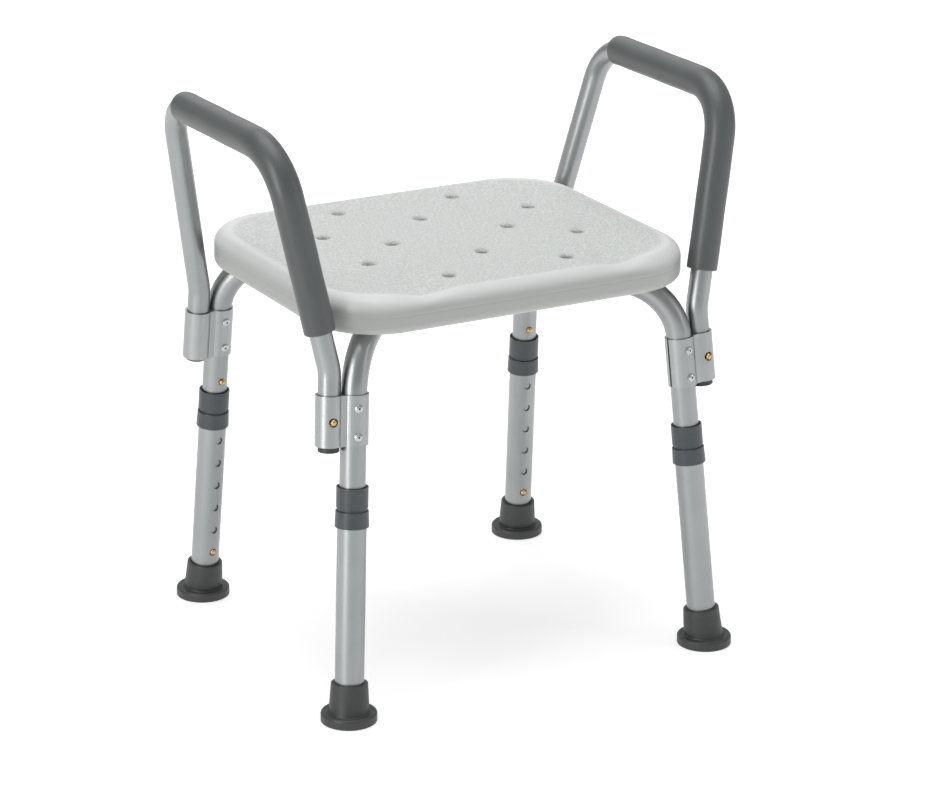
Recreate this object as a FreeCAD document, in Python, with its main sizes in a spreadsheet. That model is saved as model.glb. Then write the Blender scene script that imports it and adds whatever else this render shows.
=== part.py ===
"""Shower stool with adjustable legs and two padded arm loops.

Millimetres, +Z up, origin on the floor under the middle of the seat. +X is the sitter's left-right
axis, pointing to the right of somebody who faces the front edge, and +Y points to the back.
The seat stands at its lowest setting. Every leg has a frame of its own: Z runs up the tube from
the floor, X points out to the arm socket and Y is square to both.
"""
import FreeCAD, Part
import math
import os

import Sketcher
from FreeCAD import Placement, Rotation, Vector

DIMENSIONS = [
    ("foot_x_front", 204.0, "half distance between the front feet"),
    ("foot_x_back", 190.0, "half distance between the back feet"),
    ("foot_y", 179.0, "half distance from front feet to back feet"),
    ("splay_x_front", 3.8, "sideways lean of a front leg, degrees"),
    ("splay_x_back", 1.6, "sideways lean of a back leg, degrees"),
    ("splay_y", 5.25, "fore and aft lean of every leg, degrees"),
    ("frame_radius", 12.7, "outside radius of the 1 inch frame tube"),
    ("frame_wall", 1.5, "wall of the frame tube"),
    ("frame_end", 36.0, "lower end of a frame tube, up the leg"),
    ("run_height", 377.0, "height of the frame tubes under the seat"),
    ("frame_bend", 63.0, "bend radius of the frame tube"),
    ("flat_length", 24.0, "half length of the flattened crossing"),
    ("flat_blend", 26.0, "length over which the round tube goes flat"),
    ("flat_half_width", 16.4, "half width of the flattened crossing"),
    ("leg_radius", 14.3, "outside radius of the 1 1/8 inch leg tube"),
    ("leg_bore", 13.0, "inside radius of the leg tube"),
    ("leg_bottom", 10.0, "lower end of the leg tube"),
    ("leg_top", 208.5, "upper end of the leg tube"),
    ("hole_pitch", 25.4, "one inch between height settings"),
    ("hole_low", 53.5, "lowest height hole, up the leg"),
    ("hole_count", 6, "height settings"),
    ("leg_hole", 3.9, "radius of a height hole"),
    ("tube_hole", 3.5, "radius of a button hole in an inner tube"),
    ("upper_button_at", 246.0, "upper snap button, up the leg"),
    ("button_radius", 3.2, "radius of a snap button"),
    ("button_flange", 4.2, "radius of a snap button's foot"),
    ("button_flange_thick", 1.1, "thickness of a snap button's foot"),
    ("button_dome", 2.7, "rounding of a snap button's head"),
    ("leg_button_base", 9.0, "foot of a leg button from the tube axis"),
    ("leg_button_tip", 16.1, "tip of a leg button from the tube axis"),
    ("arm_button_base", 7.4, "foot of an arm button from the tube axis"),
    ("arm_button_tip", 15.7, "tip of an arm button from the tube axis"),
    ("leg_spring_wall", 10.6, "back of a leg spring from the tube axis"),
    ("arm_spring_wall", 8.8, "back of an arm spring from the tube axis"),
    ("spring_thick", 0.5, "thickness of the spring strip"),
    ("spring_width", 6.4, "width of the spring strip"),
    ("spring_length", 40.0, "length of a spring above its button"),
    ("lower_collar_bottom", 194.0, "lower end of the lower collar"),
    ("lower_collar_top", 210.5, "upper end of the lower collar"),
    ("lower_collar_r_bottom", 16.7, "lower collar radius at its lower end"),
    ("lower_collar_r_top", 16.1, "lower collar radius at its upper end"),
    ("upper_collar_bottom", 213.2, "lower end of the upper collar's band"),
    ("upper_collar_top", 233.6, "upper end of the upper collar"),
    ("upper_collar_radius", 15.6, "radius of the upper collar"),
    ("upper_collar_neck", 14.4, "radius of the upper collar's neck"),
    ("collar_bore", 12.8, "running bore of both collars"),
    ("foot_flange_radius", 27.6, "radius of the foot's flange"),
    ("foot_flange_thick", 9.8, "thickness of the foot's flange"),
    ("foot_flange_round", 2.6, "rounding of the flange's upper edge"),
    ("foot_sleeve_top", 38.0, "upper end of the foot's sleeve"),
    ("foot_sleeve_r_low", 20.0, "sleeve radius at the flange"),
    ("foot_sleeve_r_top", 18.1, "sleeve radius at its upper end"),
    ("foot_lip", 1.2, "chamfer of the sleeve's upper edge"),
    ("washer_bottom", 8.0, "underside of the steel washer in the foot"),
    ("washer_radius", 13.6, "radius of the washer"),
    ("washer_hole", 4.0, "radius of the washer's hole"),
    ("bracket_bottom", 275.2, "lower end of a bracket, up the leg"),
    ("bracket_height", 50.0, "length of the bracket extrusion"),
    ("bracket_turn", 7.0, "turn of a bracket towards the middle, degrees"),
    ("socket_distance", 25.0, "leg axis to arm socket axis"),
    ("clamp_radius", 14.7, "outside radius of the leg clamp"),
    ("clamp_bore", 12.75, "bore of the leg clamp"),
    ("socket_radius", 13.4, "outside radius of the arm socket"),
    ("socket_bore", 11.3, "bore of the arm socket"),
    ("web_width", 21.0, "width of the web between clamp and socket"),
    ("clamp_slit", 2.4, "width of the slit in the clamp"),
    ("socket_hole", 4.6, "radius of the button hole in a socket"),
    ("rivet_low", 9.5, "lower rivet above the bracket's end"),
    ("rivet_pitch", 28.0, "distance between the two rivets"),
    ("rivet_head_radius", 4.3, "radius of a rivet head"),
    ("rivet_head_height", 1.7, "height of a rivet head"),
    ("rivet_shank", 1.6, "radius of a rivet's shank"),
    ("rivet_bulb", 2.5, "radius of a rivet's blind end"),
    ("rivet_bore", 1.0, "radius of the hollow left by the mandrel"),
    ("arm_radius", 11.1, "outside radius of the 7/8 inch arm tube"),
    ("arm_wall", 1.5, "wall of the arm tube"),
    ("arm_end_front", 274.7, "lower end of the arm tube in the front socket"),
    ("arm_end_back", 277.5, "lower end of the arm tube in the back socket"),
    ("arm_kink", 348.0, "kink of the arm tube, up the leg"),
    ("arm_kink_bend", 45.0, "bend radius at the kink"),
    ("arm_top_x", 247.5, "half distance between the two arm rests"),
    ("arm_top_y_front", 120.5, "front corner of the arm loop"),
    ("arm_top_y_back", 111.0, "back corner of the arm loop"),
    ("arm_top_z_front", 560.0, "height of the arm tube's front corner"),
    ("arm_top_z_back", 556.8, "height of the arm tube's back corner"),
    ("arm_bend_front", 52.0, "bend radius at the front corner"),
    ("arm_bend_back", 46.0, "bend radius at the back corner"),
    ("grip_radius", 15.6, "outside radius of the foam grip"),
    ("grip_front_end", 385.5, "height of the grip's front end"),
    ("grip_back_y", 82.0, "where the grip starts in the back bend"),
    ("plug_radius", 10.4, "radius of an end plug's cap"),
    ("plug_cap", 5.5, "thickness of an end plug's cap"),
    ("plug_stem", 14.0, "length of an end plug's stem"),
    ("seat_half_x", 205.0, "half width of the seat"),
    ("seat_half_y", 166.0, "half depth of the seat"),
    ("seat_corner", 74.0, "corner radius of the seat"),
    ("seat_bottom", 378.3, "underside of the seat"),
    ("seat_top", 414.9, "top of the seat's rim"),
    ("seat_round_top", 14.5, "rounding of the upper edge"),
    ("seat_round_bottom", 8.6, "rounding of the lower edge"),
    ("seat_wall", 3.2, "wall of the blow-moulded seat"),
    ("drain_radius", 5.8, "radius of a drain hole"),
    ("drain_lead", 3.2, "soft lead-in of a drain hole"),
    ("drain_x_inner", 66.0, "drain holes of the inner columns"),
    ("drain_x_outer", 118.5, "drain holes of the outer columns"),
    ("drain_shift", 4.5, "whole hole pattern to the right of the seat's middle"),
    ("drain_y_outer", 116.0, "drain holes of the front and back rows"),
    ("drain_y_middle", 63.5, "drain holes on the centre line"),
    ("drain_y_inner", 49.0, "drain holes of the outer columns, fore and aft"),
    ("channel_clear", 0.4, "gap between frame tube and seat channel"),
    ("screw_at", 118.0, "seat screw from the middle, along the tube"),
    ("screw_radius", 2.4, "radius of a seat screw"),
    ("screw_head_radius", 4.8, "radius of a seat screw's head"),
    ("screw_head_height", 2.8, "height of a seat screw's head"),
    ("screw_tip", 407.0, "upper end of a seat screw"),
    ("boss_radius", 6.5, "radius of a screw boss in the seat"),
    ("bolt_radius", 3.0, "radius of the M6 centre bolt"),
    ("bolt_head_radius", 6.2, "radius of the centre bolt's flanged head"),
    ("bolt_head_height", 4.0, "height of the centre bolt's head"),
    ("bolt_top", 397.0, "upper end of the centre bolt"),
    ("nut_flats", 10.0, "centre nut across flats"),
    ("nut_height", 5.0, "height of the centre nut"),
]

doc = FreeCAD.newDocument("shower_stool")
sheet = doc.addObject("Spreadsheet::Sheet", "Dimensions")
for row, (alias, value, meaning) in enumerate(DIMENSIONS, start=1):
    sheet.set(f"A{row}", str(value))
    sheet.setAlias(f"A{row}", alias)
    sheet.set(f"B{row}", meaning)
doc.recompute()

NODES = []


def dim(alias):
    """Value of one driving dimension."""
    return float(sheet.get(alias))


def number(expression):
    """Value of an expression of driving dimensions."""
    return float(sheet.evalExpression(expression))


def bind(item, **expressions):
    """Bind properties of an object to expressions of the sheet."""
    for name, expression in expressions.items():
        item.setExpression(name, expression)


def node(item, label, placement=None):
    """Name an object as a finished piece and put it in its place."""
    item.Label = label
    if placement is not None:
        item.Placement = placement
    NODES.append(item)
    return item


def new_body(name):
    """An empty PartDesign body that may hold several solids."""
    body = doc.addObject("PartDesign::Body", name)
    body.AllowCompound = True
    return body


def sketch_on(body, role):
    """A sketch on one of the body's own origin planes."""
    plane = next(f for f in body.Origin.OriginFeatures if f.Role == role)
    sketch = body.newObject("Sketcher::SketchObject", body.Name + "_sketch")
    sketch.AttachmentSupport = [(plane, "")]
    sketch.MapMode = "FlatFace"
    return sketch


def hold(sketch, kind, axis, geometry, point, expression):
    """Hold one coordinate of a sketch point at an expression, or on the axis when that is zero."""
    value = number(expression)
    if abs(value) < 1e-9:
        sketch.addConstraint(Sketcher.Constraint("PointOnObject", geometry, point, axis))
        return
    index = sketch.addConstraint(Sketcher.Constraint(kind, -1, 1, geometry, point, value))
    sketch.setExpression(f"Constraints[{index}]", expression)


def add_profile(sketch, corners):
    """A closed outline through corners, each a pair of expressions."""
    points = [Vector(number(x), number(y), 0) for x, y in corners]
    count = len(points)
    for i in range(count):
        sketch.addGeometry(Part.LineSegment(points[i], points[(i + 1) % count]), False)
    for i in range(count):
        sketch.addConstraint(Sketcher.Constraint("Coincident", i, 2, (i + 1) % count, 1))
    for i, (x, y) in enumerate(corners):
        hold(sketch, "DistanceX", -2, i, 1, x)
        hold(sketch, "DistanceY", -1, i, 1, y)


def add_circle(sketch, x, y, radius):
    """A circle whose centre and radius are expressions."""
    circle = Part.Circle(Vector(number(x), number(y), 0), Vector(0, 0, 1), number(radius))
    geometry = sketch.addGeometry(circle, False)
    index = sketch.addConstraint(Sketcher.Constraint("Radius", geometry, number(radius)))
    sketch.setExpression(f"Constraints[{index}]", radius)
    hold(sketch, "DistanceX", -2, geometry, 3, x)
    hold(sketch, "DistanceY", -1, geometry, 3, y)


def turned(name, corners):
    """A body turned about its Z axis from an outline of (radius, height) expressions."""
    body = new_body(name)
    sketch = sketch_on(body, "XZ_Plane")
    add_profile(sketch, corners)
    revolution = body.newObject("PartDesign::Revolution", name + "_turned")
    revolution.Profile = sketch
    revolution.ReferenceAxis = (sketch, ["V_Axis"])
    revolution.Angle = 360
    sketch.Visibility = False
    doc.recompute()
    return body


def edges_where(shape, test):
    """Names of the edges whose every vertex passes a test."""
    return [f"Edge{i}" for i, edge in enumerate(shape.Edges, start=1)
            if all(test(vertex.Point) for vertex in edge.Vertexes)]


def dress(body, kind, names, size):
    """Fillet or chamfer edges of the body's last feature."""
    base = body.Tip
    feature = body.newObject(f"PartDesign::{kind}", f"{body.Name}_{kind.lower()}")
    feature.Base = (base, names)
    bind(feature, **{"Radius" if kind == "Fillet" else "Size": size})
    doc.recompute()
    return feature


def pocket_row(body, height, radius, side, count="1", pitch="0"):
    """Round holes through the wall on one side of a tube that stands on Z, in a row up Z."""
    sketch = sketch_on(body, "XZ_Plane")
    add_circle(sketch, "0", height, radius)
    before = body.Shape.Volume
    pocket = body.newObject("PartDesign::Pocket", body.Name + "_hole")
    pocket.Profile = sketch
    pocket.Length = 30
    pocket.Reversed = side < 0
    doc.recompute()
    if body.Shape.Volume >= before:
        raise RuntimeError(f"{body.Name}: the hole cuts nothing")
    if number(count) > 1:
        pattern = body.newObject("PartDesign::LinearPattern", body.Name + "_row")
        pattern.Originals = [pocket]
        pattern.Direction = (sketch, ["V_Axis"])
        bind(pattern, Length=f"({count} - 1) * {pitch}", Occurrences=count)
        body.Tip = pattern
        doc.recompute()
    return body


class Leg:
    """Frame of one leg: its axis, the way out to the arm socket and the side that faces forward."""

    def __init__(self, side, end):
        self.side = side
        self.end = end
        self.name = f"{'left' if side < 0 else 'right'}_{'front' if end < 0 else 'back'}"
        row_name = "front" if end < 0 else "back"
        lean_x = math.tan(math.radians(dim("splay_x_" + row_name)))
        lean_y = math.tan(math.radians(dim("splay_y")))
        self.base = Vector(side * dim("foot_x_" + row_name), end * dim("foot_y"), 0)
        self.up = Vector(-side * lean_x, -end * lean_y, 1).normalize()
        turn = math.radians(dim("bracket_turn"))
        out = Vector(side * math.cos(turn), -end * math.sin(turn), 0)
        self.out = (out - self.up * out.dot(self.up)).normalize()
        self.square = self.up.cross(self.out)
        self.forward = -side
        self.rotation = Rotation(self.out, self.square, self.up, "ZXY")

    def at(self, height, out=0.0):
        """Point on the leg's axis, or out towards the socket."""
        return self.base + self.up * height + self.out * out

    def at_level(self, level):
        """Point of the leg's axis at a height above the floor."""
        return self.base + self.up * (level / self.up.z)

    def place(self, height=0.0, out=0.0):
        """Placement of a piece that is drawn in the leg's frame."""
        return Placement(self.at(height, out), self.rotation)

    def radial(self, height, facing, out=0.0):
        """Placement whose Z points out of the tube to one side and whose X runs up the leg."""
        normal = self.square * facing
        rotation = Rotation(self.up, normal.cross(self.up), normal, "ZXY")
        return Placement(self.at(height, out), rotation)


def rounded_path(points, radii):
    """Straight edges through points, joined by tangent arcs of the given radii."""
    edges = []
    start = points[0]
    for before, corner, after, radius in zip(points, points[1:], points[2:], radii):
        arrive = (corner - before).normalize()
        leave = (after - corner).normalize()
        half = arrive.getAngle(leave) / 2
        reach = radius * math.tan(half)
        first = corner - arrive * reach
        last = corner + leave * reach
        inward = (leave - arrive).normalize()
        middle = corner + inward * (radius / math.cos(half) - radius)
        edges.append(Part.LineSegment(start, first).toShape())
        edges.append(Part.Arc(first, middle, last).toShape())
        start = last
    edges.append(Part.LineSegment(start, points[-1]).toShape())
    return edges


def sweep(edges, radius):
    """Round bar of one radius along tangent edges."""
    wire = Part.Wire(edges)
    first = edges[0]
    start = first.valueAt(first.FirstParameter)
    tangent = first.tangentAt(first.FirstParameter)
    circle = Part.Wire([Part.Circle(start, tangent, radius).toShape()])
    return wire.makePipeShell([circle], True, False)


def bar(start, end, radius):
    """Round bar between two points."""
    return Part.makeCylinder(radius, (end - start).Length, start, end - start)


def feature(name, shape):
    """A document object that holds a shape worked out in code."""
    item = doc.addObject("Part::Feature", name)
    item.Shape = shape
    return item


def primitive(kind, name, **expressions):
    """A Part primitive with its sizes bound to the sheet."""
    item = doc.addObject("Part::" + kind, name)
    bind(item, **expressions)
    return item


def fuse(name, items):
    """Part union of several objects."""
    union = doc.addObject("Part::MultiFuse", name)
    union.Shapes = items
    return union


def cut(name, base, tool):
    """Part difference of two objects."""
    difference = doc.addObject("Part::Cut", name)
    difference.Base = base
    difference.Tool = tool
    return difference


def foot_tilt(leg):
    """Placement that leans a Z axis over to the leg's own lean."""
    return Placement(Vector(0, 0, 0), Rotation(Vector(0, 0, 1), leg.up))


# Lower leg: outer tube, two collars, rubber foot with its steel washer.

def leg_tube(leg):
    """Outer leg tube with the row of height holes, on the side that faces the other end."""
    name = leg.name + "_leg_tube"
    body = turned(name, [
        ("Dimensions.leg_bore", "Dimensions.leg_bottom"),
        ("Dimensions.leg_radius", "Dimensions.leg_bottom"),
        ("Dimensions.leg_radius", "Dimensions.leg_top"),
        ("Dimensions.leg_bore", "Dimensions.leg_top"),
    ])
    pocket_row(body, "Dimensions.hole_low", "Dimensions.leg_hole", leg.forward * leg.end,
               "Dimensions.hole_count", "Dimensions.hole_pitch")
    return node(body, name, leg.place())


def lower_collar(leg):
    """Cap that is fixed on the leg tube's upper end and guides the frame tube."""
    name = leg.name + "_lower_collar"
    body = turned(name, [
        ("Dimensions.leg_radius", "Dimensions.lower_collar_bottom"),
        ("Dimensions.lower_collar_r_bottom", "Dimensions.lower_collar_bottom"),
        ("Dimensions.lower_collar_r_top", "Dimensions.lower_collar_top"),
        ("Dimensions.collar_bore", "Dimensions.lower_collar_top"),
        ("Dimensions.collar_bore", "Dimensions.leg_top"),
        ("Dimensions.leg_radius", "Dimensions.leg_top"),
    ])
    rim = edges_where(body.Shape, lambda p: abs(p.z - dim("lower_collar_top")) < 0.01
                      and math.hypot(p.x, p.y) > dim("leg_radius"))
    dress(body, "Fillet", rim, "1.2")
    return node(body, name, leg.place())


def upper_collar(leg):
    """Loose collar above the lower one, with a thin lip and a narrow neck."""
    name = leg.name + "_upper_collar"
    body = turned(name, [
        ("Dimensions.collar_bore", "Dimensions.lower_collar_top"),
        ("Dimensions.upper_collar_neck", "Dimensions.lower_collar_top"),
        ("Dimensions.upper_collar_neck", "Dimensions.upper_collar_bottom"),
        ("Dimensions.upper_collar_radius", "Dimensions.upper_collar_bottom"),
        ("Dimensions.upper_collar_radius", "Dimensions.upper_collar_top"),
        ("Dimensions.upper_collar_radius - 1.1", "Dimensions.upper_collar_top"),
        ("Dimensions.collar_bore", "Dimensions.upper_collar_top - 2.2"),
    ])
    return node(body, name, leg.place())


def foot(leg):
    """Rubber foot: a flat flange on the floor and a sleeve that leans with the leg."""
    name = leg.name + "_foot"
    disc = primitive("Cylinder", name + "_disc", Radius="Dimensions.foot_flange_radius",
                     Height="Dimensions.foot_flange_thick")
    doc.recompute()
    rounded = doc.addObject("Part::Fillet", name + "_flange")
    rounded.Base = disc
    top = edges_where(disc.Shape, lambda p: p.z > 1)
    size = dim("foot_flange_round")
    rounded.Edges = [(int(edge[4:]), size, size) for edge in top
                     if len(disc.Shape.Edges[int(edge[4:]) - 1].Vertexes) == 1]
    sleeve = primitive("Cone", name + "_sleeve", Radius1="Dimensions.foot_sleeve_r_low",
                       Radius2="Dimensions.foot_sleeve_r_top",
                       Height="Dimensions.foot_sleeve_top - Dimensions.foot_lip - 3")
    lip = primitive("Cone", name + "_lip", Radius1="Dimensions.foot_sleeve_r_top",
                    Radius2="Dimensions.foot_sleeve_r_top - Dimensions.foot_lip",
                    Height="Dimensions.foot_lip")
    bore = primitive("Cylinder", name + "_bore", Radius="Dimensions.leg_radius",
                     Height="Dimensions.foot_sleeve_top")
    tilt = foot_tilt(leg)
    for item, height in ((sleeve, 3.0), (lip, dim("foot_sleeve_top") - dim("foot_lip")),
                         (bore, dim("washer_bottom"))):
        item.Placement = Placement(leg.up * height, tilt.Rotation)
    solid = fuse(name + "_solid", [rounded, sleeve, lip])
    return node(cut(name, solid, bore), name, Placement(leg.base, Rotation()))


def foot_washer(leg):
    """Steel washer moulded over in the foot, under the end of the leg tube."""
    name = leg.name + "_foot_washer"
    body = turned(name, [
        ("Dimensions.washer_hole", "Dimensions.washer_bottom"),
        ("Dimensions.washer_radius", "Dimensions.washer_bottom"),
        ("Dimensions.washer_radius", "Dimensions.leg_bottom"),
        ("Dimensions.washer_hole", "Dimensions.leg_bottom"),
    ])
    return node(body, name, leg.place())


# Snap buttons: a domed pin on a folded strip of spring steel inside the tube.

def snap_button(name, base, tip, placement):
    """Domed pin with a foot that stops behind the tube's wall."""
    body = turned(name, [
        ("0", base),
        ("Dimensions.button_flange", base),
        ("Dimensions.button_flange", f"{base} + Dimensions.button_flange_thick"),
        ("Dimensions.button_radius", f"{base} + Dimensions.button_flange_thick"),
        ("Dimensions.button_radius", tip),
        ("0", tip),
    ])
    rim = edges_where(body.Shape, lambda p: abs(p.z - number(tip)) < 0.01
                      and math.hypot(p.x, p.y) > 1)
    dress(body, "Fillet", rim, "Dimensions.button_dome")
    return node(body, name, placement)


def folded_spring(base, wall, placement):
    """Strip folded to a V, one end under a button and the other on the far wall."""
    thick = dim("spring_thick")
    reach = dim("spring_length")
    outer = [(-7.0, base), (6.0, base), (reach, 1.6), (reach, -1.6), (6.0, -wall), (-7.0, -wall)]
    inner = [(-7.0, -wall + thick), (5.6, -wall + thick), (reach - 2, -1.0), (reach - 2, 1.0),
             (5.6, base - thick), (-7.0, base - thick)]
    half = dim("spring_width") / 2
    points = [Vector(x, -half, z) for x, z in outer + inner]
    strip = Part.Face(Part.makePolygon(points + points[:1])).extrude(Vector(0, 2 * half, 0))
    strip.Placement = placement
    return strip


# Bracket: one extrusion with a leg clamp and an arm socket, held by two blind rivets.

def bracket(leg):
    """Extruded bracket with the clamp's slit opposite the socket and a button hole."""
    name = leg.name + "_bracket"
    height = "Dimensions.bracket_height"
    clamp = primitive("Cylinder", name + "_clamp", Radius="Dimensions.clamp_radius", Height=height)
    socket = primitive("Cylinder", name + "_socket", Radius="Dimensions.socket_radius", Height=height)
    bind(socket, **{"Placement.Base.x": "Dimensions.socket_distance"})
    web = primitive("Box", name + "_web", Length="Dimensions.socket_distance", Width="Dimensions.web_width",
                    Height=height)
    bind(web, **{"Placement.Base.y": "-Dimensions.web_width / 2"})
    clamp_bore = primitive("Cylinder", name + "_clamp_bore", Radius="Dimensions.clamp_bore",
                           Height=height + " + 2")
    socket_bore = primitive("Cylinder", name + "_socket_bore", Radius="Dimensions.socket_bore",
                            Height=height + " + 2")
    bind(clamp_bore, **{"Placement.Base.z": "-1"})
    bind(socket_bore, **{"Placement.Base.x": "Dimensions.socket_distance", "Placement.Base.z": "-1"})
    slit = primitive("Box", name + "_slit", Length="20", Width="Dimensions.clamp_slit",
                     Height=height + " + 2")
    bind(slit, **{"Placement.Base.x": "-20", "Placement.Base.y": "-Dimensions.clamp_slit / 2",
                  "Placement.Base.z": "-1"})
    tools = [clamp_bore, socket_bore, slit]
    rivet_heights = (dim("rivet_low"), dim("rivet_low") + dim("rivet_pitch"))
    holes = [(0.0, z, "Dimensions.rivet_shank + 0.05", leg.forward) for z in rivet_heights]
    holes.append((dim("socket_distance"), dim("bracket_height") / 2, "Dimensions.socket_hole",
                  leg.forward * -leg.end))
    for x, z, radius, facing in holes:
        hole = primitive("Cylinder", name + "_hole", Radius=radius, Height="20")
        hole.Placement = Placement(Vector(x, 0, z), Rotation(Vector(0, 0, 1), Vector(0, facing, 0)))
        tools.append(hole)
    solid = fuse(name + "_solid", [clamp, socket, web])
    return node(cut(name, solid, fuse(name + "_tools", tools)), name, leg.place(dim("bracket_bottom")))


def rivets(leg):
    """Two blind rivets through the clamp and the frame tube: domed heads, hollow middles."""
    name = leg.name + "_rivets"
    seat = "Dimensions.clamp_radius + 0.02"
    inside = "Dimensions.frame_radius - Dimensions.frame_wall - 0.4"
    body = turned(name, [
        ("Dimensions.rivet_bore", inside + " - 2.2"),
        ("Dimensions.rivet_bulb", inside + " - 2.2"),
        ("Dimensions.rivet_bulb", inside),
        ("Dimensions.rivet_shank", inside),
        ("Dimensions.rivet_shank", seat),
        ("Dimensions.rivet_head_radius", seat),
        ("Dimensions.rivet_head_radius", seat + " + 0.3"),
        ("Dimensions.rivet_head_radius - 1.3", seat + " + Dimensions.rivet_head_height * 0.8"),
        ("Dimensions.rivet_bore + 0.6", seat + " + Dimensions.rivet_head_height"),
        ("Dimensions.rivet_bore", seat + " + Dimensions.rivet_head_height"),
    ])
    x_axis = next(f for f in body.Origin.OriginFeatures if f.Role == "X_Axis")
    pattern = body.newObject("PartDesign::LinearPattern", name + "_pair")
    pattern.Originals = [body.Tip]
    pattern.Direction = (x_axis, [""])
    bind(pattern, Length="Dimensions.rivet_pitch", Occurrences="2")
    body.Tip = pattern
    doc.recompute()
    height = dim("bracket_bottom") + dim("rivet_low")
    return node(body, name, leg.radial(height, leg.forward))


# Frame: two bent tubes that cross under the seat, flattened where they lap.

def oval_wire(centre, across, half_width, half_height):
    """Closed section square to a tube: a level or bowed top and bottom joined by two end arcs."""
    up = Vector(0, 0, 1)
    shoulder = half_width - half_height * 0.94
    if abs(half_width - half_height) < 1e-6:
        shoulder = half_width * 0.34
    rise = math.sqrt(half_height ** 2 - shoulder ** 2) if shoulder < half_height else half_height
    rise = rise if abs(half_width - half_height) < 1e-6 else half_height * 0.985
    corners = {(x, z): centre + across * (x * shoulder) + up * (z * rise)
               for x in (-1, 1) for z in (-1, 1)}
    middles = [centre + up * half_height, centre + across * half_width,
               centre - up * half_height, centre - across * half_width]
    round_trip = [(-1, 1), (1, 1), (1, -1), (-1, -1), (-1, 1)]
    edges = []
    for one, middle, two in zip(round_trip, middles, round_trip[1:]):
        edges.append(Part.Arc(corners[one], middle, corners[two]).toShape())
    return Part.Wire(edges)


def frame_outline(ends, inset, drop):
    """Outside or inside of a frame tube: two round stretches and the flattened crossing."""
    first, last = ends
    level = dim("run_height")
    corners = [first.at_level(level), last.at_level(level)]
    radius = dim("frame_radius") - inset
    along = (corners[1] - corners[0]).normalize()
    across = Vector(0, 0, 1).cross(along)
    reach = dim("flat_length") + dim("flat_blend")
    flat_height = dim("frame_radius") / 2 - 0.15 - inset
    flat_width = dim("flat_half_width") - inset
    round_end = radius - 0.1
    sections = []
    for offset, width, height, shift in (
            (-reach, round_end, round_end, 0.0),
            (-dim("flat_length"), flat_width, flat_height, drop),
            (dim("flat_length"), flat_width, flat_height, drop),
            (reach, round_end, round_end, 0.0)):
        centre = Vector(0, 0, level + shift) + along * offset
        sections.append(oval_wire(centre, across, width, height))
    outline = Part.makeLoft(sections, True, True)
    for leg, corner, way in zip(ends, corners, (-1, 1)):
        points = [leg.at(dim("frame_end")), corner, Vector(0, 0, level) + along * (way * (reach - 0.2))]
        outline = outline.fuse(sweep(rounded_path(points, [dim("frame_bend")]), radius))
    return outline


def frame_tube(name, ends, drop):
    """Bent tube of two opposite legs, drilled for buttons, rivets, seat screws and the bolt."""
    tube = frame_outline(ends, 0.0, drop).cut(frame_outline(ends, dim("frame_wall"), drop))
    for leg in ends:
        facing = leg.square * leg.forward
        for height in (dim("hole_low"), dim("upper_button_at")):
            start = leg.at(height)
            tube = tube.cut(bar(start, start + facing * leg.end * 20, dim("tube_hole")))
        for extra in (dim("rivet_low"), dim("rivet_low") + dim("rivet_pitch")):
            start = leg.at(dim("bracket_bottom") + extra)
            tube = tube.cut(bar(start, start + facing * 20, dim("rivet_shank") + 0.05))
        spot = screw_spot(leg)
        tube = tube.cut(bar(spot - Vector(0, 0, 30), spot + Vector(0, 0, 30), dim("screw_radius") + 0.2))
        end = leg.at(dim("frame_end") - 6)
        tube = tube.cut(bar(end - leg.up * 20, leg.at(dim("frame_end") + 0.01), 20))
    centre = Vector(0, 0, dim("run_height"))
    tube = tube.cut(bar(centre - Vector(0, 0, 30), centre + Vector(0, 0, 30), dim("bolt_radius") + 0.2))
    return node(feature(name, tube), name)


def screw_spot(leg):
    """Where a seat screw crosses the middle line of its frame tube."""
    corner = leg.at_level(dim("run_height"))
    outward = Vector(corner.x, corner.y, 0).normalize()
    return Vector(0, 0, dim("run_height")) + outward * dim("screw_at")


# Seat: a hollow blow-moulded slab with channels for the frame, drain holes and screw bosses.

def rounded_slab(inset, low, high, round_low, round_high):
    """Slab with round corners and soft edges, drawn in by an inset."""
    half_x = dim("seat_half_x") - inset
    half_y = dim("seat_half_y") - inset
    corner = dim("seat_corner") - inset
    box = Part.makeBox(2 * half_x, 2 * half_y, high - low, Vector(-half_x, -half_y, low))
    upright = [e for e in box.Edges if abs(e.tangentAt(e.FirstParameter).z) > 0.9]
    slab = box.makeFillet(corner, upright)
    for level, size in ((high, round_high), (low, round_low)):
        rim = [e for e in slab.Edges if all(abs(v.Point.z - level) < 0.01 for v in e.Vertexes)]
        slab = slab.makeFillet(size, rim)
    return slab


def drain_spots():
    """Centres of the twelve drain holes."""
    inner, outer = dim("drain_x_inner"), dim("drain_x_outer")
    spots = [(x, y) for x in (-inner, inner) for y in (-dim("drain_y_outer"), 0, dim("drain_y_outer"))]
    spots += [(x, y) for x in (-outer, outer) for y in (-dim("drain_y_inner"), dim("drain_y_inner"))]
    spots += [(0, -dim("drain_y_middle")), (0, dim("drain_y_middle"))]
    return [(x + dim("drain_shift"), y) for x, y in spots]


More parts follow.
